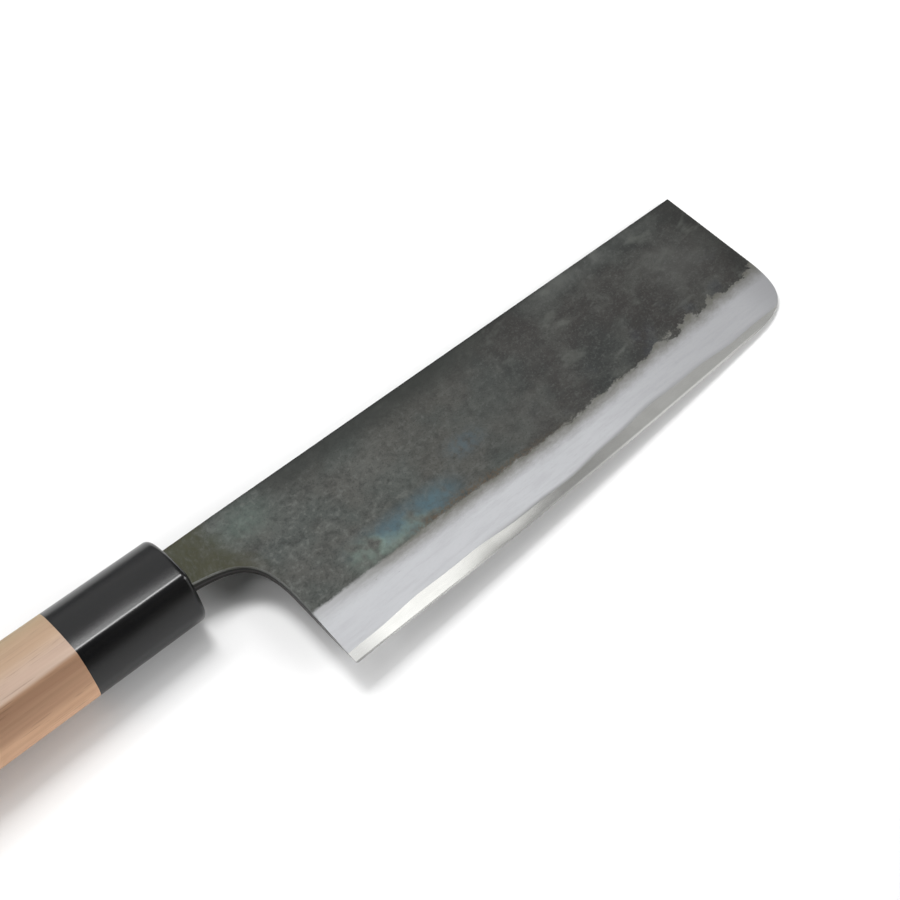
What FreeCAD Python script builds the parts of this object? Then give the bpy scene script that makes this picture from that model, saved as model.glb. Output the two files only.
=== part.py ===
"""Nakiri vegetable knife: a three-layer forged blade with a hidden tang in a D-shaped wooden handle.

The knife lies on its left side. +X runs along the handle to the front of the blade, +Y towards the spine and
+Z out of the blade's right face. The origin is on the handle's end face, on the axis of its oval. Lengths are
millimetres.
"""
import FreeCAD, Part

import math
import os

from FreeCAD import Vector

# Blade outline, as seen on its right face
blade_length = 164.6
blade_height = 53.6
spine_above_axis = 7.7
belly_rise = 3.2
front_straight = 31.7
front_corner_length = 20.3
heel_straight = 21.9
spine_corner_radius = 0.4
heel_corner_radius = 0.7

# Neck, from the mouth of the ferrule to the heel
neck_length = 18.0
neck_height = 12.1
neck_drop = 0.4
neck_thickness = 4.6
flare_length = 14.0
choil_fall = 1.6
choil_ease = 0.5
spine_ease = 0.3

# Thickness of the blade: flats, ground bevel and honed edge
spine_thickness_heel = 3.5
spine_thickness_front = 1.8
bevel_thickness_heel = 2.7
bevel_width_heel = 16.6
bevel_width_front = 15.8
hone_thickness = 0.24
hone_width = 0.5
edge_thickness = 0.06

# Core plate between the two claddings
core_thickness_heel = 0.7
core_thickness_front = 0.38
long_wave = 80.0
short_wave = 21.0
wave_step = 2.5

# Tang inside the handle
tang_length = 88.0
tang_shoulder = 8.0
tang_root_height = 9.0
tang_end_height = 5.0
tang_end_thickness = 2.6
bedding_thickness = 0.5
bedding_recess = 0.4

# Handle and ferrule, sanded flush: an oval with one ridge on its right, lower side
handle_length = 134.0
ferrule_length = 30.5
mouth_height = 24.5
mouth_width = 19.4
butt_height = 25.4
ridge_out = 11.5
ridge_drop = 6.7
ridge_blend = 1.0
rim_radius = 1.4
butt_radius = 2.2
tenon_diameter = 14.6
tenon_length = 19.0
tenon_clearance = 0.05
tenon_end_gap = 0.2

# Length by which tools reach past what they cut
overrun = 5.0
# Distance within which a point counts as lying on a curve
pick_distance = 0.02

# Shares of the sizes that they follow
choil_pull_shares = (0.74, 0.78)
corner_pull_shares = (0.81, 0.75)
face_pull_share = 0.45
upper_face_share = 0.161
lower_face_share = 0.467
wave_shares = (0.13, 0.03)
right_phase_share = 0.975
left_phase_share = 0.6
wedge_shares = [i / 8 for i in range(9)]
rounding_shares = [i / 4 for i in range(5)]

x_mouth = handle_length
x_joint = handle_length - ferrule_length
x_heel = x_mouth + neck_length
x_front = x_heel + blade_length
x_belly = x_front - front_corner_length
x_tang = x_mouth - tang_length
y_spine = spine_above_axis
y_edge = y_spine - blade_height
y_choil = y_edge + heel_straight
y_neck_top = y_spine - neck_drop
y_neck_low = y_neck_top - neck_height
belly_run = x_belly - x_heel
flat_slope_x = (spine_thickness_front - spine_thickness_heel) / blade_length / 2
flat_slope_y = (spine_thickness_heel - bevel_thickness_heel) / (blade_height - bevel_width_heel) / 2


def edge_height(x):
    """Y of the cutting edge: level at the heel, then rising as a parabola."""
    run = max(x - x_heel, 0)
    return y_edge + belly_rise * (run / belly_run) ** 2


def flat_half(x, y):
    """Half the thickness between the flats, which lean in towards the front and the edge."""
    return spine_thickness_heel / 2 + flat_slope_x * (x - x_heel) + flat_slope_y * (y - y_spine)


def bevel_line(x):
    """Y of the line where the flats end and the bevel starts; it follows the belly of the edge."""
    share = (x - x_heel) / blade_length
    return edge_height(x) + bevel_width_heel + share * (bevel_width_front - bevel_width_heel)


def line(*points):
    return Part.makePolygon([Vector(*p) for p in points])


def curve(*poles):
    bezier = Part.BezierCurve()
    bezier.setPoles([Vector(*p) for p in poles])
    return bezier.toShape()


def closed_face(*pieces):
    edges = [edge for piece in pieces for edge in piece.Edges]
    return Part.Face(Part.Wire(edges))


def planar_solid(first, second):
    """Solid between two polygons with matching corners, all of its side faces flat."""
    first = [Vector(*p) for p in first]
    second = [Vector(*p) for p in second]
    faces = [Part.Face(Part.makePolygon(loop + loop[:1])) for loop in (first, second)]
    for i in range(len(first)):
        corners = [first[i - 1], first[i], second[i], second[i - 1]]
        faces.append(Part.Face(Part.makePolygon(corners + corners[:1])))
    solid = Part.Solid(Part.Shell(faces))
    solid.fix(pick_distance, pick_distance, pick_distance)
    return solid


def choil_curve():
    """Underside of the neck, sweeping down into the straight heel."""
    along, up = choil_pull_shares
    return curve((x_heel, y_choil, 0),
                 (x_heel, y_choil + up * (y_neck_low - y_choil), 0),
                 (x_mouth + along * neck_length, y_neck_low - choil_fall, 0),
                 (x_mouth, y_neck_low, 0))


def spine_line():
    return line((x_heel, y_spine, 0), (x_front, y_spine, 0))


def tang_points(allowance):
    """Upper and lower outline of the tang, from the mouth back, grown by an allowance."""
    x_root = x_mouth - tang_shoulder
    x_end = x_tang - allowance
    root = tang_root_height / 2 + allowance
    end = tang_end_height / 2 + allowance
    upper = [(x_mouth, y_neck_top + allowance, 0), (x_root, root, 0), (x_end, end, 0)]
    lower = [(x_end, -end, 0), (x_root, -root, 0), (x_mouth, y_neck_low - allowance, 0)]
    return upper + lower


def blade_outline():
    """Blade, neck and tang as one flat outline, given enough depth to take every thickness."""
    along, up = corner_pull_shares
    y_front = y_spine - front_straight
    y_belly = edge_height(x_belly)
    slope = 2 * belly_rise / belly_run
    pull = along * front_corner_length
    tang = tang_points(0)
    face = closed_face(
        spine_line(),
        line((x_front, y_spine, 0), (x_front, y_front, 0)),
        curve((x_front, y_front, 0),
              (x_front, y_front - up * (y_front - y_belly), 0),
              (x_belly + pull, y_belly + slope * pull, 0),
              (x_belly, y_belly, 0)),
        curve((x_belly, y_belly, 0), ((x_heel + x_belly) / 2, y_edge, 0), (x_heel, y_edge, 0)),
        line((x_heel, y_edge, 0), (x_heel, y_choil, 0)),
        choil_curve(),
        line(*reversed(tang)),
        curve(tang[0], ((x_mouth + x_heel) / 2, y_spine, 0), (x_heel, y_spine, 0)))
    depth = neck_thickness + overrun
    face.translate(Vector(0, 0, -depth / 2))
    return face.extrude(Vector(0, 0, depth))


def corner_tool(x, y, radius, along, up):
    """What rounding takes off a square corner that points along and up."""
    r = radius
    centre = Vector(x - along * r, y - up * r, -overrun)
    size = r + overrun
    low = Vector(min(centre.x, centre.x + along * size), min(centre.y, centre.y + up * size), -overrun)
    block = Part.makeBox(size, size, 2 * overrun, low)
    return block.cut(Part.makeCylinder(r, 2 * overrun, centre))


def flats():
    """Flat-sided wedge that thins from spine to edge and from heel to front."""
    def section(x):
        low, high = y_edge - overrun, y_spine + overrun
        return [(x, low, -flat_half(x, low)), (x, high, -flat_half(x, high)),
                (x, high, flat_half(x, high)), (x, low, flat_half(x, low))]

    return planar_solid(section(x_mouth), section(x_front + overrun))


def ground_wedge():
    """Wedge that the bevels are ground to, with a honed edge that follows the belly; it clears the tang."""
    low, high = x_tang - overrun, x_front + overrun
    top = y_spine + overrun
    half_hone, half_edge = hone_thickness / 2, edge_thickness / 2
    sections = []
    for share in wedge_shares:
        x = low + share * (high - low)
        edge = edge_height(x)
        hone = edge + hone_width
        y_line = bevel_line(x)
        lean = (flat_half(x, y_line) - half_hone) / (y_line - hone)
        half_top = half_hone + lean * (top - hone)
        corners = [(x, top, half_top), (x, hone, half_hone), (x, edge, half_edge),
                   (x, edge, -half_edge), (x, hone, -half_hone), (x, top, -half_top)]
        sections.append(line(*corners, corners[0]))
    return Part.makeLoft(sections, True, False)


def neck_side(side):
    """Half of the neck and tang on one face; it thickens from the flat towards the mouth."""
    low = y_choil - overrun
    reach = y_spine + overrun - low
    x_flare = x_mouth + flare_length
    half = flat_half(x_flare, low)
    half_neck = neck_thickness / 2 + flat_slope_y * (low - y_spine)
    half_end = tang_end_thickness / 2 + flat_slope_y * (low - y_spine)
    x_pull = (x_mouth + x_flare) / 2
    face = closed_face(
        line((x_tang, low, -side * half), (x_tang, low, side * half_end), (x_mouth, low, side * half_neck)),
        curve((x_mouth, low, side * half_neck),
              (x_pull, low, side * (half + flat_slope_x * (x_pull - x_flare))),
              (x_flare, low, side * half)),
        line((x_flare, low, side * half), (x_flare, low, -side * half), (x_tang, low, -side * half)))
    return face.extrude(Vector(0, reach, side * flat_slope_y * reach))


def eased(blade, path, radius):
    """The blade with its two sharp edges along a path of the outline rounded."""
    def follows_path(edge):
        middle = edge.valueAt((edge.FirstParameter + edge.LastParameter) / 2)
        on_plan = Part.Vertex(Vector(middle.x, middle.y, 0)).distToShape(path)[0] < pick_distance
        return on_plan and abs(edge.tangentAt(edge.FirstParameter).z) < math.sqrt(0.5)

    return blade.makeFillet(radius, [edge for edge in blade.Edges if follows_path(edge)])


def blade_blank():
    """The whole blade before it is parted into its layers."""
    thick = flats().fuse([neck_side(1), neck_side(-1)])
    blade = thick.common(blade_outline()).removeSplitter().Solids[0]
    blade = eased(blade, spine_line(), spine_ease)
    blade = eased(blade, choil_curve(), choil_ease)
    blade = blade.common(ground_wedge())
    blade = blade.cut(corner_tool(x_front, y_spine, spine_corner_radius, 1, 1))
    return blade.cut(corner_tool(x_heel, y_edge, heel_corner_radius, -1, -1))


def core_half(x, phase):
    """Half the core's thickness; forging leaves it thinner to the front and a little wavy."""
    share = (x - x_heel) / blade_length
    half = (core_thickness_heel + share * (core_thickness_front - core_thickness_heel)) / 2
    long_share, short_share = wave_shares
    turn = 2 * math.pi
    ripple = long_share * math.sin(turn * (x / long_wave + phase))
    ripple += short_share * math.sin(turn * (x / short_wave + phase))
    return half * (1 + ripple)


def core_side(side, phase):
    """Curve of one face of the core, seen from the spine."""
    low, high = x_tang - overrun, x_front + overrun
    count = math.ceil((high - low) / wave_step)
    xs = [low + (high - low) * i / count for i in range(count + 1)]
    spline = Part.BSplineCurve()
    spline.interpolate([Vector(x, y_edge - overrun, side * core_half(x, phase)) for x in xs])
    return spline.toShape()


def layer_tool(near, far):
    """Solid between two curves seen from the spine, as high as the blade."""
    ends = [(near.Vertexes[i].Point, far.Vertexes[i].Point) for i in (0, -1)]
    joins = [Part.makeLine(*pair) for pair in ends]
    face = Part.Face(Part.Wire(Part.sortEdges([near, joins[0], far, joins[1]])[0]))
    return face.extrude(Vector(0, blade_height + 2 * overrun, 0)).toNurbs()


def blade_layers():
    """Core plate and the claddings forge-welded to its two faces."""
    blank = blade_blank()
    right = core_side(1, right_phase_share)
    left = core_side(-1, left_phase_share)
    core = layer_tool(right, left)

    def outside(side, curve_edge):
        level = side * (neck_thickness + overrun)
        ends = [vertex.Point for vertex in curve_edge.Vertexes]
        outer = Part.makeLine(*[Vector(p.x, p.y, level) for p in ends])
        return layer_tool(curve_edge, outer)

    return {
        "core_steel": blank.common(core),
        "right_cladding": blank.common(outside(1, right)),
        "left_cladding": blank.common(outside(-1, left)),
    }


def tang_slot():
    """Slot that takes the tang and the bedding around it."""
    points = tang_points(bedding_thickness)
    mouth = x_mouth + overrun
    upper, lower = points[0], points[-1]
    outline = closed_face(line((mouth,) + upper[1:], *points, (mouth,) + lower[1:], (mouth,) + upper[1:]))
    depth = neck_thickness + overrun
    outline.translate(Vector(0, 0, -depth / 2))
    half_neck = neck_thickness / 2 + bedding_thickness
    half_end = tang_end_thickness / 2 + bedding_thickness
    x_end = x_tang - bedding_thickness
    low = y_neck_low - overrun
    side = closed_face(line((x_end, low, half_end), (x_mouth, low, half_neck), (mouth, low, half_neck),
                            (mouth, low, -half_neck), (x_mouth, low, -half_neck), (x_end, low, -half_end),
                            (x_end, low, half_end)))
    height = y_neck_top + overrun - low
    return outline.extrude(Vector(0, 0, depth)).common(side.extrude(Vector(0, height, 0)))


def d_section(x, inset):
    """Section of the handle, which grows evenly from the mouth to the butt, drawn in by an inset."""
    share = (x_mouth - x) / handle_length
    half_height = (mouth_height + share * (butt_height - mouth_height)) / 2
    growth = (half_height - inset) / (mouth_height / 2)
    high = growth * mouth_height / 2
    wide = growth * mouth_width / 2
    ridge = Vector(x, -growth * ridge_drop, growth * ridge_out)

    def face(angle, sense):
        """Where a face leaves the oval, the pole that bends it, and where it meets the softened ridge."""
        start = Vector(x, high * math.cos(angle), wide * math.sin(angle))
        along = Vector(0, -high * math.sin(angle), wide * math.cos(angle)).normalize() * sense
        pole = start + along * (face_pull_share * start.distanceToPoint(ridge))
        end = ridge + (pole - ridge).normalize() * (growth * ridge_blend)
        return start, pole, end

    upper_angle = upper_face_share * 2 * math.pi
    lower_angle = lower_face_share * 2 * math.pi
    upper = face(upper_angle, 1)
    lower = face(lower_angle, -1)
    oval = Part.Ellipse(Vector(x, high, 0), Vector(x, 0, wide), Vector(x, 0, 0))
    back = Part.ArcOfEllipse(oval, lower_angle, upper_angle + 2 * math.pi).toShape()
    return Part.Wire([curve(*upper), curve(upper[-1], ridge, lower[-1]), curve(*lower[::-1]), back])


def grip_blank():
    """Ferrule and handle as one D-shaped grip with rounded ends."""
    def rounded_end(x_end, side, radius):
        sections = []
        for share in rounding_shares:
            turn = share * math.pi / 2
            inset = radius * (1 - math.cos(turn))
            sections.append(d_section(x_end - side * radius * (1 - math.sin(turn)), inset))
        return Part.makeLoft(sections, True, False)

    body = Part.makeLoft([d_section(butt_radius, 0), d_section(x_mouth - rim_radius, 0)], True, True)
    return body.fuse([rounded_end(0, -1, butt_radius), rounded_end(x_mouth, 1, rim_radius)])


def slab(x_low, x_high):
    """Block across the handle between two stations."""
    size = butt_height + 2 * overrun
    return Part.makeBox(x_high - x_low, size, size, Vector(x_low, -size / 2, -size / 2))


def ferrule(slot):
    socket = Part.makeCylinder(tenon_diameter / 2 + tenon_clearance, tenon_length + tenon_end_gap + overrun,
                               Vector(x_joint - overrun, 0, 0), Vector(1, 0, 0))
    collar = grip_blank().common(slab(x_joint, x_mouth + overrun))
    return collar.cut(socket).cut(slot)


def handle(slot):
    tenon = Part.makeCylinder(tenon_diameter / 2, tenon_length + overrun,
                              Vector(x_joint - overrun, 0, 0), Vector(1, 0, 0))
    grip = grip_blank().common(slab(-overrun, x_joint))
    return grip.fuse(tenon).removeSplitter().cut(slot)


def tang_bedding(slot, layers):
    filling = slot.common(slab(0, x_mouth - bedding_recess))
    for layer in layers.values():
        filling = filling.cut(layer)
    return filling


def build():
    slot = tang_slot()
    layers = blade_layers()
    parts = dict(layers)
    parts["ferrule"] = ferrule(slot)
    parts["handle"] = handle(slot)
    parts["tang_bedding"] = tang_bedding(slot, layers)
    return parts


os.makedirs("parts", exist_ok=True)
for node, shape in build().items():
    print(node, "solids", len(shape.Solids), "valid", shape.isValid(), "volume", round(shape.Volume, 1))
    shape.exportStep("parts/%s.step" % node)
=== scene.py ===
import math

import bpy
from mathutils import Matrix, Vector

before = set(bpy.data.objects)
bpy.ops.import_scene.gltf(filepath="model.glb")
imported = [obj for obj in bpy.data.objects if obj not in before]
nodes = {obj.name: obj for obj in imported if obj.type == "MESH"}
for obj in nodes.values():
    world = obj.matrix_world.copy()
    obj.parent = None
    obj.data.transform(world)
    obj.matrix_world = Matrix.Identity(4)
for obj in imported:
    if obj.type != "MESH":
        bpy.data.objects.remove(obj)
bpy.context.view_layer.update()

# Places on the knife, in metres in the part's own frame: x from the handle's end to the front of the blade,
# y towards the spine, z out of the right face.
HEEL_X = 0.1520
FRONT_X = 0.3166
EDGE_Y = -0.0459
BELLY_RISE = 0.0032
BELLY_RUN = 0.1443
BEVEL_WIDTH_HEEL = 0.0166
BEVEL_WIDTH_FRONT = 0.0158
CORE_HALF_HEEL = 0.00035
CORE_HALF_FRONT = 0.00019
CORE_WAVES = ((0.080, 0.13), (0.021, 0.03))  # length, and height as a share of the half thickness
RIGHT_PHASE = 0.975
LEFT_PHASE = 0.6

# A pattern on the blade has its depth drawn out: the two faces lie millimetres apart and each gets its own.
FACE_DEPTH = 40
# How far a face may still look out sideways when it begins to count as a side face, and when it fully does.
SIDE_TURN = (0.35, 0.15)
CHOIL_BLACK = (0.016, 0.015, 0.013)
# Depth of the fine relief in each surface.
SCALE_RELIEF, CORE_RELIEF, FERRULE_RELIEF = 0.00012, 0.00002, 0.00002
WOOD_RELIEF, RESIN_RELIEF = 0.00008, 0.0003


class Look:
    """A material and short calls for the nodes that make it up."""

    def __init__(self, name):
        self.material = bpy.data.materials.new(name)
        self.material.use_nodes = True
        self.tree = self.material.node_tree
        self.shader = self.tree.nodes["Principled BSDF"]
        self.place = self.node("ShaderNodeTexCoord").outputs["Object"]

    def node(self, kind, **settings):
        made = self.tree.nodes.new(kind)
        for name, value in settings.items():
            setattr(made, name, value)
        return made

    def put(self, socket, value):
        """Links an output to a socket, or sets the socket to a plain value."""
        if isinstance(value, bpy.types.NodeSocket):
            self.tree.links.new(value, socket)
        else:
            socket.default_value = value

    def shade(self, **values):
        for name, value in values.items():
            self.put(self.shader.inputs[name.replace("_", " ")], value)

    def math(self, operation, first, second=0.0, third=0.0):
        made = self.node("ShaderNodeMath", operation=operation)
        for socket, value in zip(made.inputs, (first, second, third)):
            self.put(socket, value)
        return made.outputs[0]

    def times(self, *values):
        result = values[0]
        for value in values[1:]:
            result = self.math("MULTIPLY", result, value)
        return result

    def rest(self, share):
        """What a share leaves of one."""
        return self.math("SUBTRACT", 1.0, share)

    def axis(self, name, vector=None):
        made = self.node("ShaderNodeSeparateXYZ")
        self.put(made.inputs[0], vector or self.place)
        return made.outputs[name]

    def facing(self):
        """One on faces that look straight out of the blade's sides, zero on faces across them."""
        normal = self.node("ShaderNodeNewGeometry").outputs["Normal"]
        return self.math("ABSOLUTE", self.axis("Z", normal))

    def stretched(self, scale, shift):
        made = self.node("ShaderNodeMapping")
        self.put(made.inputs["Vector"], self.place)
        made.inputs["Location"].default_value = shift
        made.inputs["Scale"].default_value = scale
        return made.outputs[0]

    def lengthwise(self, along, shift=(0, 0, 0)):
        """Coordinates that draw a pattern out along the knife."""
        return self.stretched((along, 1, 1), shift)

    def face(self, shift=(0, 0, 0), along=1, across=1):
        """Coordinates for a pattern on the blade's faces."""
        return self.stretched((along, across, FACE_DEPTH), shift)

    def noise(self, scale, detail, roughness, place=None, distortion=0.0):
        made = self.node("ShaderNodeTexNoise")
        self.put(made.inputs["Vector"], place or self.place)
        made.inputs["Scale"].default_value = scale
        made.inputs["Detail"].default_value = detail
        made.inputs["Roughness"].default_value = roughness
        made.inputs["Distortion"].default_value = distortion
        return made.outputs["Fac"]

    def swing(self, noise):
        """Noise brought to swing about zero."""
        return self.math("SUBTRACT", noise, 0.5)

    def cells(self, scale, place):
        made = self.node("ShaderNodeTexVoronoi")
        self.put(made.inputs["Vector"], place)
        made.inputs["Scale"].default_value = scale
        return made.outputs["Distance"]

    def rise(self, value, low, high, start=0.0, end=1.0):
        """Goes smoothly from start to end while value goes from low to high."""
        made = self.node("ShaderNodeMapRange", interpolation_type="SMOOTHSTEP")
        for name, number in (
            ("Value", value),
            ("From Min", low),
            ("From Max", high),
            ("To Min", start),
            ("To Max", end),
        ):
            self.put(made.inputs[name], number)
        return made.outputs[0]

    def rise_line(self, value, low, high, start, end):
        """Goes evenly from start to end while value goes from low to high, and on beyond them."""
        slope = (end - start) / (high - low)
        return self.math("MULTIPLY_ADD", value, slope, start - slope * low)

    def hump(self, value, centre, half_width):
        """One at the centre, falling smoothly to zero on both sides."""
        away = self.math("ABSOLUTE", self.math("SUBTRACT", value, centre))
        return self.rise(away, 0.0, half_width, 1.0, 0.0)

    def mix(self, share, first, second, blend="MIX"):
        made = self.node("ShaderNodeMix", data_type="RGBA", blend_type=blend)
        self.put(made.inputs[0], share)
        for socket, value in ((made.inputs[6], first), (made.inputs[7], second)):
            self.put(socket, (*value, 1.0) if isinstance(value, tuple) else value)
        return made.outputs[2]

    def layers(self, colour, *pairs):
        """Lays colours over a first one, each with its own share."""
        for share, over in pairs:
            colour = self.mix(share, colour, over)
        return colour

    def bump(self, height, distance, strength):
        made = self.node("ShaderNodeBump")
        made.inputs["Strength"].default_value = strength
        made.inputs["Distance"].default_value = distance
        self.put(made.inputs["Height"], height)
        return made.outputs[0]


def core_reach(look, x):
    """Distance from the middle plane as a share of the core's wavy half thickness, one at its border."""
    z = look.axis("Z")
    right = look.math("GREATER_THAN", z, 0.0)
    phase = look.math("MULTIPLY_ADD", right, RIGHT_PHASE - LEFT_PHASE, LEFT_PHASE)
    half = look.rise_line(x, HEEL_X, FRONT_X, CORE_HALF_HEEL, CORE_HALF_FRONT)
    ripple = 1.0
    for length, share in CORE_WAVES:
        turns = look.math("MULTIPLY_ADD", x, 1 / length, phase)
        wave = look.math("SINE", look.times(turns, 2 * math.pi))
        ripple = look.math("MULTIPLY_ADD", wave, share, ripple)
    return look.math("DIVIDE", look.math("ABSOLUTE", z), look.times(half, ripple))


# The scale reaches a little below the bevel line in the middle of the blade: centre, half width and depth.
DIP_X, DIP_HALF, DIP_DEPTH = 0.236, 0.045, 0.0013
# Sizes of what makes its border ragged, towards the heel and at the front, and the height over which it ends.
BITES, CRUMBS, STEPS = (0.0010, 0.0058), (0.0012, 0.0034), (0.0, 0.0085)
SCALE_BORDER = (-0.0006, 0.0004)


class Cladding(Look):
    """The look of the iron layers, with the coordinates and noises that scale and bevel share."""

    def __init__(self):
        super().__init__("clad_iron")
        self.x = self.axis("X")
        self.y = self.axis("Y")
        self.along = self.rise(self.x, HEEL_X, FRONT_X)
        self.plain = self.face()
        self.cloud = self.noise(75, 4.0, 0.6, self.plain, 0.4)
        self.patch = self.noise(260, 5.0, 0.65, self.plain)
        self.grain = self.noise(1300, 3.0, 0.7, self.plain)
        self.stroke = self.noise(900, 3.0, 0.6, self.lengthwise(0.10))
        self.haze = self.noise(48, 3.0, 0.5, self.plain)
        self.bites = self.swing(self.noise(240, 3.0, 0.6, self.plain))
        self.crumbs = self.swing(self.noise(1300, 3.0, 0.65, self.plain))
        self.above = self.height_above_bevel()
        self.edge = self.ragged_height()

    def height_above_bevel(self):
        """Height above the line where the scale ends."""
        run = self.math("MAXIMUM", self.math("SUBTRACT", self.x, HEEL_X), 0.0)
        line = self.times(run, (BEVEL_WIDTH_FRONT - BEVEL_WIDTH_HEEL) / (FRONT_X - HEEL_X))
        line = self.math("MULTIPLY_ADD", self.times(run, run), BELLY_RISE / BELLY_RUN ** 2, line)
        above = self.math("SUBTRACT", self.y, self.math("ADD", line, EDGE_Y + BEVEL_WIDTH_HEEL))
        return self.math("MULTIPLY_ADD", self.hump(self.x, DIP_X, DIP_HALF), DIP_DEPTH, above)

    def ragged_height(self):
        """The same height with the ragged border worked in, which grows coarser towards the front."""
        steps = self.swing(self.noise(150, 2.0, 0.5, self.face((0.5, 0.3, 0.1), across=0.6)))
        edge = self.above
        for ragged, size in (
            (self.bites, self.rise(self.along, 0.1, 0.95, *BITES)),
            (self.crumbs, self.rise(self.along, 0.1, 0.95, *CRUMBS)),
            (steps, self.rise(self.along, 0.60, 0.90, *STEPS)),
        ):
            edge = self.math("ADD", edge, self.times(ragged, size))
        return edge

    def spot(self, centre, half_width, half_height):
        """A soft patch on the flats."""
        return self.times(self.hump(self.x, centre[0], half_width), self.hump(self.y, centre[1], half_height))


# Colours of the scale. The flats are greyer near the handle and blacker far from it.
NEAR_GREEN, NEAR_BROWN = (0.045, 0.052, 0.047), (0.050, 0.050, 0.044)
FAR_GREEN, FAR_BROWN = (0.022, 0.024, 0.023), (0.026, 0.024, 0.0225)
BLUE_BLACK = (0.025, 0.028, 0.036)
CLOUD_GREY = (0.070, 0.073, 0.066)
PATCH_BLACK = (0.019, 0.020, 0.019)
GRAIN_GREY = (0.075, 0.078, 0.072)
SPECK_BLACK = (0.012, 0.013, 0.012)
PEBBLE_LIGHT, PEBBLE_DARK = (0.105, 0.110, 0.102), (0.016, 0.017, 0.016)
WIPED_GREY = (0.092, 0.096, 0.089)
SPINE_BLACK, RIM_BLACK = (0.012, 0.014, 0.012), (0.010, 0.011, 0.010)
RUBBED_GREY, SCUFFED_GREY, SCUFF_GREY = (0.100, 0.105, 0.098), (0.085, 0.088, 0.082), (0.090, 0.095, 0.085)
FRONT_BLACK = (0.012, 0.012, 0.011)
NECK_OLIVE = (0.034, 0.034, 0.013)
HEAT_TEAL, HEAT_BLUE = (0.155, 0.215, 0.185), (0.050, 0.092, 0.112)
FAINT_TEAL, COOL_BLUE = (0.078, 0.108, 0.092), (0.052, 0.080, 0.095)
RUST_BROWN = (0.072, 0.050, 0.030)

# Spans on the flats, from where a change begins to where it is complete.
FAR_SPAN = (0.195, 0.252)
PEBBLED_SPAN = (0.235, 0.160)
WIPED_SPAN = (0.250, 0.180)
SPINE_SPAN_X, SPINE_SPAN_Y, SPINE_FADE = (0.156, 0.172), (-0.003, 0.006), (0.260, 0.215)
RIM_SPAN = (0.0060, 0.0074)
RUBBED_X, RUBBED_HALF, RUBBED_SPAN_Y = 0.281, 0.034, (0.0005, 0.006)
FRONT_SPAN = (0.305, 0.3155)
NECK_SPAN = (0.141, 0.153)
HEAT_START, HEAT_END, HEAT_TURN = (0.164, 0.176), (0.208, 0.194), (0.180, 0.206)
# Heights above the scale's border: the tinted band, the rust with its widths, and the blue patches.
HEAT_HEIGHT, HEAT_HALF = 0.0044, 0.0066
RUST_HEIGHT, RUST_WIDTHS = 0.0004, (0.0030, 0.0018)
BLUE_REACH = (0.016, 0.002)
# Soft patches: centre, half width and half height.
SCUFFED_SPOT = ((0.300, -0.011), 0.015, 0.013)
FAINT_SPOT = ((0.155, 0.001), 0.012, 0.009)
COOL_SPOT = ((0.2125, -0.0172), 0.009, 0.005)


def heat_tint(look, mottle):
    """Share and colour of the band that heat has tinted above the bevel, teal towards the heel, then blue."""
    heat = look.noise(150, 2.0, 0.5, look.face((0.7, 0.3, 0.2)))
    band = look.times(
        look.hump(look.above, HEAT_HEIGHT, HEAT_HALF),
        look.rise(look.x, *HEAT_START),
        look.rise(look.x, *HEAT_END),
    )
    mask = look.times(band, look.rise(heat, 0.28, 0.54), look.rise(mottle, 0.3, 0.6, 0.6, 1.0))
    turn = look.math("MULTIPLY_ADD", look.swing(heat), 0.06, look.x)
    turn = look.math("MULTIPLY_ADD", look.above, 3.0, turn)
    return look.times(mask, 0.9), look.mix(look.rise(turn, *HEAT_TURN), HEAT_TEAL, HEAT_BLUE)


def rust_fringe(look):
    """Share of the rust along the scale's border, in the half of the blade next to the handle."""
    rust = look.rise(look.noise(1100, 4.0, 0.65, look.plain), 0.40, 0.62)
    width = look.rise(look.along, 0.20, 0.40, *RUST_WIDTHS)
    fringe = look.times(
        look.hump(look.edge, RUST_HEIGHT, width),
        rust,
        look.rise(look.along, 0.06, 0.16),
        look.rise(look.along, 0.60, 0.30),
    )
    return look.times(fringe, 0.75)


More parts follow.
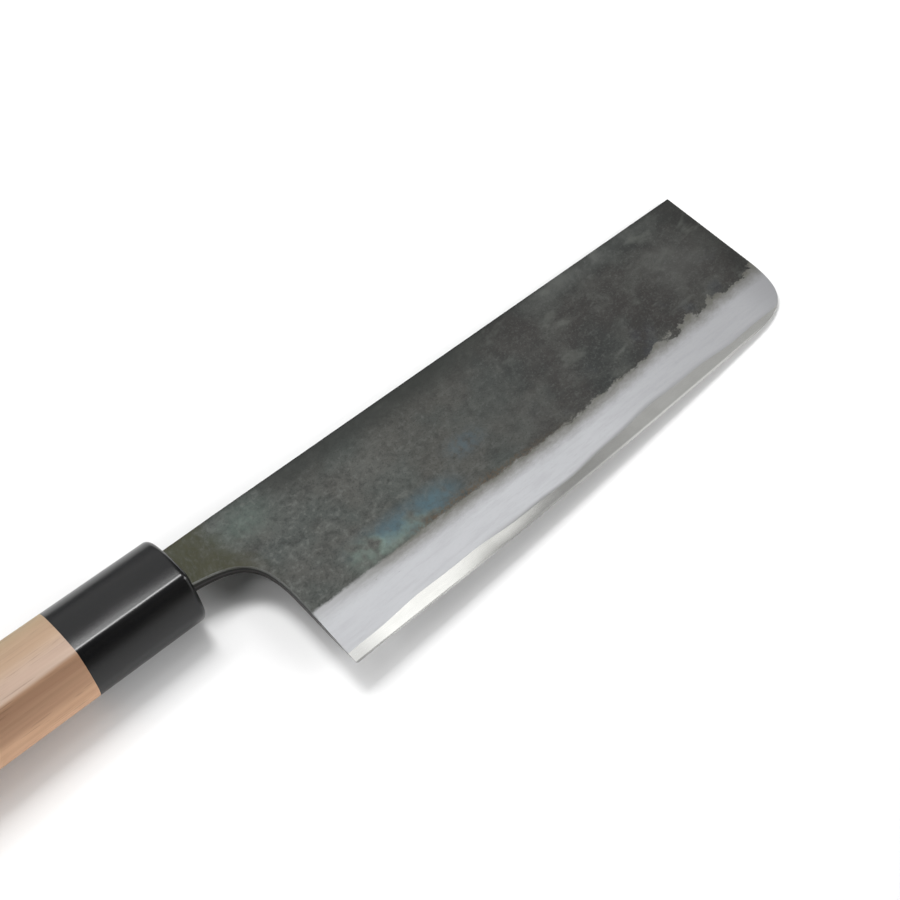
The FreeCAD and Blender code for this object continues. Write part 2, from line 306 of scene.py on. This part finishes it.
def scale_colour(look):
    """Forge scale: clouds, grain and pebbles, with darkened, rubbed and heat-tinted places over them."""
    x, y, cloud = look.x, look.y, look.cloud
    tint = look.rise(look.noise(42, 3.0, 0.55, look.face((0.31, 0.12, 0.05))), 0.38, 0.58)
    near = look.mix(tint, NEAR_GREEN, NEAR_BROWN)
    far = look.mix(tint, FAR_GREEN, FAR_BROWN)
    blue = look.noise(95, 3.0, 0.5, look.face((0.8, 0.5, 0.3)))
    blue = look.times(
        look.rise(blue, 0.54, 0.68),
        look.rise(look.above, *BLUE_REACH),
        look.rise(look.along, 0.4, 0.6),
    )
    speck = look.noise(2000, 2.0, 0.6, look.face((0.6, 0.2, 0.1)))
    pebble = look.noise(560, 4.0, 0.6, look.face((0.4, 0.7, 0.2)))
    pebbled = look.rise(x, *PEBBLED_SPAN, 0.25, 1.0)
    wipe = look.noise(700, 3.0, 0.6, look.face((0.3, 0.1, 0.6), along=0.14), 0.2)
    wiped = look.rise(x, *WIPED_SPAN, 0.10, 0.30)
    spine = look.times(look.rise(y, *SPINE_SPAN_Y), look.rise(x, *SPINE_SPAN_X))
    rubbed = look.times(look.hump(x, RUBBED_X, RUBBED_HALF), look.rise(y, *RUBBED_SPAN_Y))
    neck = look.rise(look.math("MULTIPLY_ADD", look.swing(cloud), 0.02, x), *NECK_SPAN, 1.0, 0.0)
    scuff = look.noise(135, 3.0, 0.5, look.face((0.2, 0.4, 0), along=0.7, across=1.2), 0.3)
    scuff = look.times(look.rise(scuff, 0.56, 0.74), look.rise(look.along, 0.35, 0.75, 0.3, 1.0))
    mottle = look.noise(620, 3.0, 0.6, look.face((0.1, 0.9, 0.2)))
    return look.layers(
        look.mix(look.rise(x, *FAR_SPAN), near, far),
        (look.times(blue, 0.6), BLUE_BLACK),
        (look.rise(cloud, 0.40, 0.72, 0.0, 0.55), CLOUD_GREY),
        (look.rise(look.patch, 0.46, 0.66, 0.0, 0.34), PATCH_BLACK),
        (look.rise(look.grain, 0.50, 0.70, 0.0, 0.40), GRAIN_GREY),
        (look.rise(speck, 0.54, 0.68, 0.0, 0.40), SPECK_BLACK),
        (look.times(pebbled, look.rise(pebble, 0.52, 0.70, 0.0, 0.60)), PEBBLE_LIGHT),
        (look.times(pebbled, look.rise(pebble, 0.48, 0.32, 0.0, 0.60)), PEBBLE_DARK),
        (look.rise(wipe, 0.54, 0.74, 0.0, wiped), WIPED_GREY),
        (look.times(spine, look.rise(x, *SPINE_FADE, 0.15, 0.86)), SPINE_BLACK),
        (look.rise(y, *RIM_SPAN, 0.0, 0.55), RIM_BLACK),
        (look.times(rubbed, look.rise(cloud, 0.35, 0.6, 0.2, 0.6)), RUBBED_GREY),
        (look.times(look.spot(*SCUFFED_SPOT), look.rise(cloud, 0.3, 0.6, 0.3, 0.5)), SCUFFED_GREY),
        (look.rise(x, *FRONT_SPAN, 0.0, 0.5), FRONT_BLACK),
        (look.times(neck, look.rise(pebble, 0.35, 0.65, 0.9, 0.65)), NECK_OLIVE),
        (look.times(scuff, 0.5), SCUFF_GREY),
        heat_tint(look, mottle),
        (look.times(look.spot(*FAINT_SPOT), look.rise(mottle, 0.3, 0.6, 0.25, 0.55)), FAINT_TEAL),
        (look.times(look.spot(*COOL_SPOT), look.rise(mottle, 0.35, 0.6, 0.1, 0.6)), COOL_BLUE),
        (rust_fringe(look), RUST_BROWN),
    )


# Colours of the ground bevel, and the spans where they change.
SATIN_DARK, SATIN_LIGHT = (0.475, 0.48, 0.495), (0.505, 0.51, 0.525)
SATIN_FAR, SATIN_FRONT = (0.425, 0.428, 0.440), (0.330, 0.333, 0.343)
STROKE_GREY, FLECK_GREY = (0.33, 0.332, 0.340), (0.33, 0.332, 0.335)
BORDER_NEAR, BORDER_FAR = (0.300, 0.303, 0.300), (0.365, 0.368, 0.375)
SMOKE_GREY, PIT_GREY = (0.116, 0.113, 0.090), (0.10, 0.095, 0.085)
SATIN_FRONT_SPAN = (0.300, 0.316)
BORDER_SPAN = (0.192, 0.212)
SMOKE_SPAN = (HEEL_X, 0.185)
# Heights below the scale's border that smoke and pits reach, and the sizes of the smoke's ragged outline.
SMOKE_REACH, PIT_REACH = (-0.0052, 0.0002), (-0.008, -0.002)
SMOKE_BITES, SMOKE_CRUMBS = (0.0012, 0.0026), 0.0014


def satin_colour(look):
    """The ground bevel: satin with faint strokes, duller by the core, smoked and pitted by the scale."""
    x, along = look.x, look.along
    fleck = look.noise(1500, 3.0, 0.6, look.face((0.1, 0.2, 0.4), along=0.5))
    border = look.times(look.rise(core_reach(look, x), 1.25, 0.98), look.rise(x, *BORDER_SPAN))
    veil = look.math("MULTIPLY_ADD", look.bites, look.rise(along, 0.1, 0.9, *SMOKE_BITES), look.above)
    veil = look.math("MULTIPLY_ADD", look.crumbs, SMOKE_CRUMBS, veil)
    smoke = look.rise(veil, *SMOKE_REACH, 0.0, look.rise(x, *SMOKE_SPAN, 0.25, 0.85))
    pits = look.times(
        look.rise(look.cells(300, look.plain), 0.03, 0.10, 0.6, 0.0),
        look.rise(look.noise(70, 2.0, 0.5, look.plain), 0.55, 0.66),
        look.rise(look.edge, *PIT_REACH),
    )
    return look.layers(
        look.mix(look.rise(look.haze, 0.3, 0.7), SATIN_DARK, SATIN_LIGHT),
        (look.rise(along, 0.45, 1.0), SATIN_FAR),
        (look.rise(x, *SATIN_FRONT_SPAN, 0.0, 0.75), SATIN_FRONT),
        (look.rise(look.stroke, 0.42, 0.66, 0.0, 0.16), STROKE_GREY),
        (look.rise(fleck, 0.52, 0.70, 0.0, 0.14), FLECK_GREY),
        (border, look.mix(look.rise(along, 0.5, 0.95), BORDER_NEAR, BORDER_FAR)),
        (look.times(smoke, look.rise(look.patch, 0.3, 0.6, 0.8, 1.0)), SMOKE_GREY),
        (pits, PIT_GREY),
    )


# The choil: where its faces lie, where its edges are rubbed most, and the colour of the rubbed steel.
CHOIL_SPAN_X, CHOIL_SPAN_Y = (0.1535, 0.1525), (0.0, -0.002)
RUBBED_NECK_SPAN = (0.148, 0.140)
WORN_STEEL = (0.30, 0.305, 0.30)


def clad_iron():
    """Black forge scale on the flats, a satin ground bevel, and the ragged line between them."""
    look = Cladding()
    scale_mask = look.rise(look.edge, *SCALE_BORDER)
    bare = look.rest(scale_mask)
    colour = look.mix(scale_mask, satin_colour(look), scale_colour(look))
    dull = look.math("MULTIPLY_ADD", look.patch, 0.25, 0.48)
    polish = look.math("MULTIPLY_ADD", look.haze, 0.08, 0.70)
    rough = look.math("ADD", look.times(dull, scale_mask), look.times(polish, bare))

    # Side faces: dark on the choil's and the heel's side faces, and rubbed bright along the choil's eased
    # edges.
    facing = look.facing()
    choil = look.times(look.rise(look.x, *CHOIL_SPAN_X), look.rise(look.y, *CHOIL_SPAN_Y))
    cut = look.times(look.rise(facing, *SIDE_TURN), choil)
    eased = look.times(look.rise(facing, 0.985, 0.93), look.rise(facing, 0.2, 0.4))
    rubbing = look.math("MULTIPLY_ADD", choil, look.rise(look.x, *RUBBED_NECK_SPAN, 0.25, 0.62), 0.05)
    worn = look.times(eased, look.rise(look.grain, 0.38, 0.62, 0.25, 1.0), rubbing)
    colour = look.layers(colour, (cut, CHOIL_BLACK), (worn, WORN_STEEL))
    metal = look.math("MAXIMUM", look.times(bare, look.rest(cut)), worn)

    relief = look.math("ADD", look.times(look.grain, 0.5), look.patch)
    relief = look.math("ADD", look.times(relief, scale_mask), look.times(look.stroke, bare, 0.07))
    look.shade(
        Base_Color=colour,
        Metallic=metal,
        Roughness=rough,
        Specular_IOR_Level=0.25,
        Normal=look.bump(relief, SCALE_RELIEF, 0.5),
    )
    return look.material


# The core's colours, with painted shade for its heel end and beyond the middle of the edge, and the spans where
# that painted shade and a painted reflection lie along the edge.
CORE_DARK, CORE_LIGHT = (0.63, 0.63, 0.605), (0.69, 0.69, 0.665)
CORE_STREAK, CORE_HEEL_PAINTED_SHADE, CORE_HEEL_FACE = (0.50, 0.50, 0.475), (0.42, 0.42, 0.41), (0.16, 0.16, 0.155)
CORE_PAINTED_SHADE = (0.78, 0.78, 0.78)
CORE_HEEL_SHADE_SPAN, CORE_HEEL_FACE_SPAN = (0.166, 0.153), (0.1535, 0.1525)
PAINTED_SHADE_X, PAINTED_REFLECTION_X, PAINTED_LIGHT_HALF = 0.2320, 0.2060, 0.0240
CORE_NECK_SPAN_X, CORE_NECK_SPAN_Y = (0.1535, 0.1521), (-0.040, -0.026)


def core_steel():
    """The hard middle layer: polished where it is bared along the edge, dark where it shows at the neck, with
    painted shade and a painted reflection worked into its colour along the edge.
    """
    look = Look("core_steel")
    x = look.axis("X")
    cloud = look.noise(90, 4.0, 0.55)
    streak = look.noise(1400, 3.0, 0.6, look.lengthwise(0.08))
    colour = look.layers(
        look.mix(look.rise(cloud, 0.3, 0.7), CORE_DARK, CORE_LIGHT),
        (look.rise(streak, 0.45, 0.75, 0.0, 0.12), CORE_STREAK),
        # painted shade: the core darker towards the heel end
        (look.rise(x, *CORE_HEEL_SHADE_SPAN, 0.0, 0.85), CORE_HEEL_PAINTED_SHADE),
    )
    # Painted shade beyond the middle of the edge, and before it a painted reflection graded from dark at the
    # edge to bright at the core's border.
    colour = look.mix(look.hump(x, PAINTED_SHADE_X, PAINTED_LIGHT_HALF), colour, CORE_PAINTED_SHADE, "MULTIPLY")
    painted_reflection = look.rise(core_reach(look, x), 0.10, 0.95, 0.55, 1.32)
    colour = look.mix(look.hump(x, PAINTED_REFLECTION_X, PAINTED_LIGHT_HALF), colour, painted_reflection, "MULTIPLY")
    heel_face = look.times(look.rise(look.facing(), *SIDE_TURN), look.rise(x, *CORE_HEEL_FACE_SPAN))
    neck = look.times(look.rise(x, *CORE_NECK_SPAN_X), look.rise(look.axis("Y"), *CORE_NECK_SPAN_Y))
    colour = look.layers(colour, (heel_face, CORE_HEEL_FACE), (neck, CHOIL_BLACK))
    rough = look.math("MULTIPLY_ADD", cloud, 0.06, 0.10)
    rough = look.math("MAXIMUM", rough, look.times(neck, 0.5))
    look.shade(
        Base_Color=colour,
        Metallic=look.rest(neck),
        Roughness=rough,
        Normal=look.bump(streak, CORE_RELIEF, 0.2),
    )
    return look.material


FERRULE_BLACK, FERRULE_STREAK = (0.0040, 0.0042, 0.0046), (0.0095, 0.0092, 0.0088)


def black_ferrule():
    """Polished black collar with faint lengthwise streaks and rubbed patches."""
    look = Look("black_ferrule")
    streak = look.noise(300, 5.0, 0.6, look.lengthwise(0.06))
    rub = look.noise(70, 4.0, 0.6)
    fine = look.noise(2200, 2.0, 0.5, look.lengthwise(0.3))
    look.shade(
        Base_Color=look.mix(look.rise(streak, 0.45, 0.75), FERRULE_BLACK, FERRULE_STREAK),
        Roughness=look.math("MULTIPLY_ADD", rub, 0.08, 0.20),
        IOR=1.45,
        Normal=look.bump(fine, FERRULE_RELIEF, 0.15),
    )
    return look.material


WOOD_LIGHT, WOOD_DARK = (0.414, 0.290, 0.192), (0.335, 0.224, 0.146)
WOOD_DRIFT, WOOD_FIBRE, WOOD_PORE = (0.315, 0.205, 0.130), (0.230, 0.142, 0.088), (0.130, 0.078, 0.048)
# Factors on the wood's colour: bands along the grain, and the tones round the grip, among them a painted
# highlight near the ridge and painted bounce light at the bottom.
BAND_LIGHT, BAND_DARK = (1.05, 1.06, 1.07), (0.91, 0.91, 0.90)
BACK_TONE, RIDGE_PAINTED_HIGHLIGHT = (0.80, 0.84, 0.66), (1.02, 1.05, 1.19)
UNDER_TONE, BOTTOM_PAINTED_BOUNCE = (0.85, 0.715, 0.65), (2.35, 2.50, 2.60)
# Heights round the grip where those tones begin and are complete; for the bottom, depth and half width.
BACK_SPAN, RIDGE_SPAN, UNDER_SPAN = (0.0045, 0.0105), (0.0020, -0.0030), (-0.0058, -0.0070)
BOTTOM_DEPTH, BOTTOM_HALF = -0.0025, 0.0140
# The pith lies beside the grip, and the growth rings run round it.
PITH_Y, PITH_Z, RING_WIDTH = -0.055, -0.030, 0.0042
# How far the pith sways along the grip, the rings wobble, and the tones swing about their heights.
SWAY_Y, SWAY_Z, WOBBLE = 0.010, 0.006, 0.0026
SWING_Y, SWING_Z = 0.006, 0.008


def walnut():
    """Straight-grained walnut: faint growth rings, drawn-out pores and slow colour changes along the grip, with
    a painted highlight near the ridge and painted bounce light at the bottom.
    """
    look = Look("walnut")
    sway = look.noise(9, 3.0, 0.5, look.lengthwise(0.5))
    y = look.math("MULTIPLY_ADD", sway, SWAY_Y, look.math("ADD", look.axis("Y"), -PITH_Y))
    z = look.math("MULTIPLY_ADD", sway, SWAY_Z, look.math("ADD", look.axis("Z"), -PITH_Z))
    radius = look.math("SQRT", look.math("ADD", look.times(y, y), look.times(z, z)))
    wobble = look.noise(60, 4.0, 0.6, look.lengthwise(0.10))
    rings = look.math("MULTIPLY_ADD", wobble, WOBBLE, radius)
    ring = look.math("SINE", look.times(rings, 2 * math.pi / RING_WIDTH))
    ring = look.math("MULTIPLY_ADD", ring, 0.5, 0.5)
    drift = look.noise(30, 3.0, 0.5, look.lengthwise(0.10, (0.4, 0.2, 0.1)))
    fibre = look.noise(900, 4.0, 0.65, look.lengthwise(0.035))
    pores = look.rise(look.noise(1900, 2.0, 0.5, look.lengthwise(0.05, (0.2, 0, 0))), 0.60, 0.70)
    band = look.noise(300, 2.0, 0.5, look.lengthwise(0.03, (0.3, 0.5, 0.7)))
    colour = look.layers(
        look.mix(look.rise(ring, 0.1, 1.0, 0.0, 0.7), WOOD_LIGHT, WOOD_DARK),
        (look.rise(drift, 0.40, 0.66, 0.0, 0.55), WOOD_DRIFT),
        (look.rise(fibre, 0.42, 0.72, 0.0, 0.25), WOOD_FIBRE),
        (look.times(pores, 0.30), WOOD_PORE),
    )

    # Changes of tone round the grip: olive at the back and reddish under the ridge; paler near the ridge as a
    # painted highlight, and golden at the bottom as painted bounce light from the floor.
    turn = look.swing(look.noise(70, 3.0, 0.5, look.lengthwise(0.12, (0.1, 0.6, 0.3))))
    across = look.math("MULTIPLY_ADD", turn, SWING_Y, look.axis("Y"))
    depth = look.math("MULTIPLY_ADD", turn, SWING_Z, look.axis("Z"))
    under = look.rise(across, *UNDER_SPAN)
    for share, tone in (
        (1.0, look.mix(look.rise(band, 0.36, 0.64), BAND_LIGHT, BAND_DARK)),
        (look.rise(across, *BACK_SPAN), BACK_TONE),
        # painted highlight: paler near the ridge
        (look.times(look.rise(across, *RIDGE_SPAN), look.rest(under)), RIDGE_PAINTED_HIGHLIGHT),
        (under, UNDER_TONE),
        # painted bounce light from the floor: golden at the bottom
        (look.times(under, look.hump(depth, BOTTOM_DEPTH, BOTTOM_HALF)), BOTTOM_PAINTED_BOUNCE),
    ):
        colour = look.mix(share, colour, tone, "MULTIPLY")
    height = look.math("SUBTRACT", look.times(fibre, 0.35), look.times(pores, 0.8))
    look.shade(
        Base_Color=colour,
        Roughness=look.math("MULTIPLY_ADD", fibre, 0.18, 0.40),
        Specular_IOR_Level=0.4,
        Normal=look.bump(height, WOOD_RELIEF, 0.4),
    )
    return look.material


RESIN_DARK, RESIN_LIGHT = (0.018, 0.016, 0.014), (0.045, 0.040, 0.034)


def resin():
    """Dark hardened resin round the neck, slightly uneven and dusty."""
    look = Look("resin")
    lump = look.noise(350, 4.0, 0.6)
    look.shade(
        Base_Color=look.mix(look.rise(lump, 0.35, 0.7), RESIN_DARK, RESIN_LIGHT),
        Roughness=look.math("MULTIPLY_ADD", lump, 0.3, 0.35),
        Normal=look.bump(lump, RESIN_RELIEF, 0.5),
    )
    return look.material


def dress(node, material):
    slots = nodes[node].data.materials
    slots.clear()
    slots.append(material)


def lowest(names, normal):
    return min(v.co.dot(normal) for name in names for v in nodes[name].data.vertices)


BLADE = ("core_steel", "right_cladding", "left_cladding")
GRIP = ("ferrule", "handle")
STEEPEST_LEAN = math.radians(8)
LEAN_STEPS = 40
FLOOR_RADIUS, FLOOR_POINTS, FLOOR_X = 0.46, 128, 0.2
FLOOR_GAP = 0.00005
FLOOR_GREY = (0.80, 0.80, 0.80, 1.0)


def resting_plane():
    """The floor under the ferrule and the front of the blade, which the knife lies on: lean, normal, height."""
    low, high = 0.0, STEEPEST_LEAN
    for _ in range(LEAN_STEPS):
        lean = (low + high) / 2
        normal = Vector((-math.sin(lean), 0, math.cos(lean)))
        if lowest(BLADE, normal) > lowest(GRIP, normal):
            low = lean
        else:
            high = lean
    return lean, normal, lowest(BLADE + GRIP, normal)


def floor():
    lean, normal, height = resting_plane()
    mesh = bpy.data.meshes.new("floor")
    turns = [2 * math.pi * step / FLOOR_POINTS for step in range(FLOOR_POINTS)]
    rim = [(FLOOR_RADIUS * math.cos(turn), FLOOR_RADIUS * math.sin(turn), 0) for turn in turns]
    mesh.from_pydata(rim, [], [range(FLOOR_POINTS)])
    made = bpy.data.objects.new("floor", mesh)
    made.rotation_euler = (0, -lean, 0)
    made.location = normal * (height - FLOOR_GAP) + Vector((FLOOR_X, 0, FLOOR_X * math.tan(lean)))
    bpy.context.scene.collection.objects.link(made)
    look = Look("floor")
    look.shade(Base_Color=FLOOR_GREY, Roughness=0.9, Specular_IOR_Level=0.2)
    mesh.materials.append(look.material)


def area_light(name, place, target, size, radiance):
    data = bpy.data.lights.new(name, "AREA")
    data.shape = "RECTANGLE"
    data.size, data.size_y = size
    data.energy = radiance * 4 * size[0] * size[1]
    made = bpy.data.objects.new(name, data)
    made.location = place
    made.rotation_euler = (Vector(target) - Vector(place)).to_track_quat("-Z", "Y").to_euler()
    bpy.context.scene.collection.objects.link(made)


# The sky grows brighter with the height of a direction, and by this share of how far it points to the back.
SKY_LEAN = 0.75
SKY_RANGE = (("From Min", -0.5), ("From Max", 0.8), ("To Min", 0.03), ("To Max", 0.12))


def sky():
    """Soft surroundings: bright above and at the back, dim on the camera's side, white if seen directly."""
    world = bpy.data.worlds.new("studio")
    world.use_nodes = True
    tree = world.node_tree
    background = tree.nodes["Background"]
    background.inputs["Color"].default_value = (1.0, 1.0, 1.0, 1.0)
    direction = tree.nodes.new("ShaderNodeTexCoord")
    split = tree.nodes.new("ShaderNodeSeparateXYZ")
    tree.links.new(direction.outputs["Generated"], split.inputs[0])
    lift = tree.nodes.new("ShaderNodeMath")
    lift.operation = "MULTIPLY_ADD"
    tree.links.new(split.outputs["Y"], lift.inputs[0])
    lift.inputs[1].default_value = SKY_LEAN
    tree.links.new(split.outputs["Z"], lift.inputs[2])
    glow = tree.nodes.new("ShaderNodeMapRange")
    glow.interpolation_type = "SMOOTHSTEP"
    tree.links.new(lift.outputs[0], glow.inputs["Value"])
    for name, value in SKY_RANGE:
        glow.inputs[name].default_value = value
    path = tree.nodes.new("ShaderNodeLightPath")
    seen = tree.nodes.new("ShaderNodeMath")
    seen.operation = "MAXIMUM"
    tree.links.new(glow.outputs[0], seen.inputs[0])
    tree.links.new(path.outputs["Is Camera Ray"], seen.inputs[1])
    tree.links.new(seen.outputs[0], background.inputs["Strength"])
    bpy.context.scene.world = world


# Area lights: name, place, what they point at (None for straight down), width and height, radiance.
KNIFE = (0.15, 0.0, 0.0)
LIGHTS = (
    ("key", (0.23, 0.26, 0.60), None, (0.20, 0.18), 17.3),
    ("back", (0.09, 0.41, 0.60), None, (0.34, 0.10), 12.4),
    ("top", (-0.28, 0.10, 0.60), None, (0.22, 0.22), 2.2),
    ("left", (-0.55, 0.00, 0.28), KNIFE, (0.40, 0.30), 5.4),
    ("right", (0.70, -0.47, 0.38), KNIFE, (0.40, 0.46), 6.2),
    ("wall", (0.15, 0.85, 0.42), KNIFE, (1.20, 0.50), 0.5),
    ("sheet", (0.785, 0.02, 0.62), None, (0.50, 0.44), 0.33),
    ("panel", (0.27, 0.11, 0.60), None, (0.33, 0.30), 1.05),
    ("fade", (0.468, 0.11, 0.60), None, (0.066, 0.30), 0.5),
    ("glint", (0.72, -0.036, 0.86), None, (0.42, 0.04), 0.5),
)


def lights():
    sky()
    for name, place, target, size, radiance in LIGHTS:
        area_light(name, place, target or (*place[:2], 0.0), size, radiance)


# The camera: sensor and lens in millimetres, its place, and its axes.
SENSOR_WIDTH = 36.0
LENS = 56.65
CAMERA_PLACE = (0.0635, -0.1599, 0.3016)
CAMERA_RIGHT = (0.7381, -0.6739, 0.0335)
CAMERA_UP = (0.5443, 0.6241, 0.5606)
CAMERA_BACK = (-0.3987, -0.3955, 0.8274)
CAMERA_CLIP_START = 0.01


def camera():
    data = bpy.data.cameras.new("camera")
    data.sensor_width = SENSOR_WIDTH
    data.lens = LENS
    data.clip_start = CAMERA_CLIP_START
    made = bpy.data.objects.new("camera", data)
    turned = Matrix((CAMERA_RIGHT, CAMERA_UP, CAMERA_BACK)).transposed().to_4x4()
    made.matrix_world = Matrix.Translation(CAMERA_PLACE) @ turned
    bpy.context.scene.collection.objects.link(made)
    bpy.context.scene.camera = made


clad = clad_iron()
dress("right_cladding", clad)
dress("left_cladding", clad)
dress("core_steel", core_steel())
dress("ferrule", black_ferrule())
dress("handle", walnut())
dress("tang_bedding", resin())
floor()
lights()
camera()
bpy.context.scene.view_settings.view_transform = "Standard"
